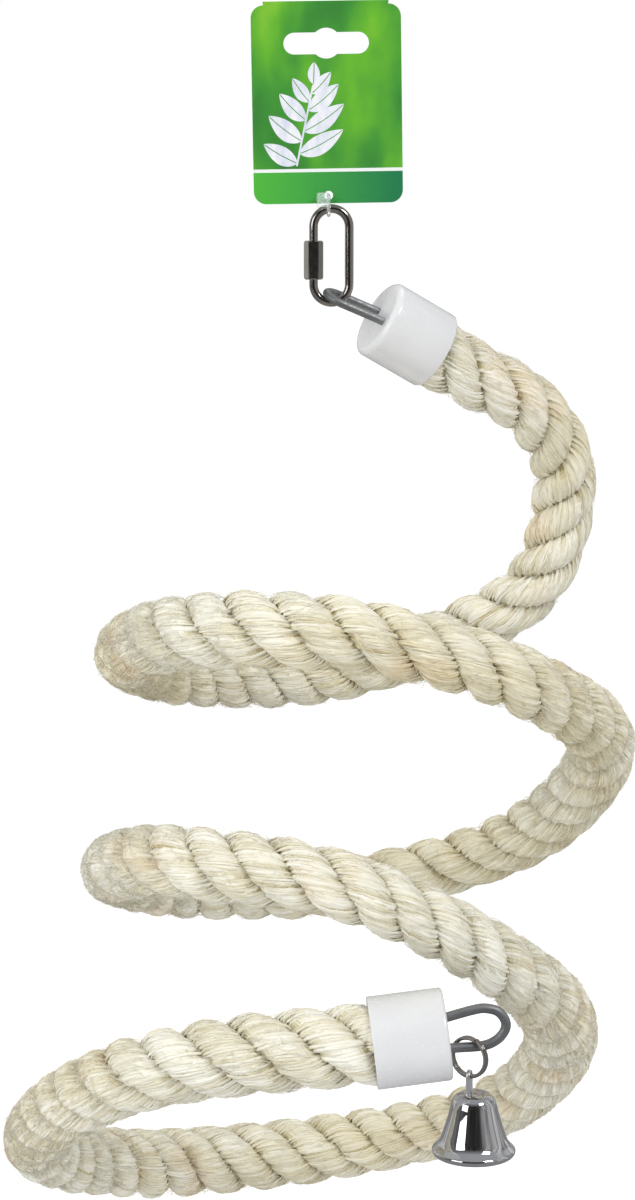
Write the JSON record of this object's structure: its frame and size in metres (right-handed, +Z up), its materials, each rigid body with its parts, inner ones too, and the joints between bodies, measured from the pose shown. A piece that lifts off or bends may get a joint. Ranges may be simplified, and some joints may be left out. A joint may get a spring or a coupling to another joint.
{
  "type": "bird perch",
  "caption": "Spiral perch of thick laid sisal rope on a wire core, with plastic end caps, wire eyes, a quick link, a header tag and a bell on a split ring.",
  "frame": {"origin": "inside top of the quick link, where a cage bar carries the perch", "axes": "+X to the right of the header tag's printed face, +Y away from that face, +Z up along the hanging line"},
  "size_m": [0.238, 0.2217, 0.4813],
  "materials": {
    "sisal": "matt natural fibre",
    "white_plastic": "gloss",
    "galvanised": "dull zinc",
    "nickel": "bright nickel",
    "bright_chrome": "mirror",
    "steel": "plain",
    "card": "coated card",
    "clear_plastic": "clear",
    "resin": "hardened glue"
  },
  "bodies": {
    "link": {"quick_link": "nickel"},
    "sleeve": {"link_sleeve": "nickel"},
    "tie": {"tag_tie": "clear_plastic"},
    "tag": {"tag_card": "card"},
    "perch": {"top_eye": "galvanised", "core_wire": "galvanised", "rope": "sisal", "bottom_eye": "galvanised", "top_cap": "white_plastic", "bottom_cap": "white_plastic", "top_resin": "resin", "bottom_resin": "resin"},
    "ring": {"bell_ring": "nickel"},
    "bell": {"bell_shell": "bright_chrome", "bell_hanger": "bright_chrome"},
    "clapper": {"clapper_wire": "steel", "clapper_ball": "steel"}
  },
  "joints": [
    {"name": "sleeve_slide", "type": "slide", "parent": "link", "child": "sleeve", "axis": [0, 0, 1], "range_m": [0, 0.005]},
    {"name": "tie_swing", "type": "hinge", "parent": "link", "child": "tie", "pos_m": [-0.001, 0, 0.0016], "axis": [1, 0, 0], "range_deg": [-95, 50]},
    {"name": "tag_swing", "type": "hinge", "parent": "tie", "child": "tag", "pos_m": [-0.001, 0, 0.0077], "axis": [1, 0, 0], "range_deg": [-20, 20]},
    {"name": "perch_swing", "type": "hinge", "parent": "link", "child": "perch", "pos_m": [0, 0, -0.0326], "axis": [1, 0, 0], "range_deg": [-25, 30]},
    {"name": "ring_swing", "type": "hinge", "parent": "perch", "child": "ring", "pos_m": [0.0469, -0.10426, -0.28299], "axis": [0.9919, 0.0346, 0.1219], "range_deg": [-30, 30]},
    {"name": "bell_swing", "type": "hinge", "parent": "ring", "child": "bell", "pos_m": [0.0469, -0.10426, -0.29314], "axis": [0.809, -0.5878, 0], "range_deg": [-30, 30]},
    {"name": "clapper_swing", "type": "hinge", "parent": "bell", "child": "clapper", "pos_m": [0.0469, -0.10426, -0.30449], "axis": [0.4067, 0.9135, 0], "range_deg": [-25, 25]}
  ]
}
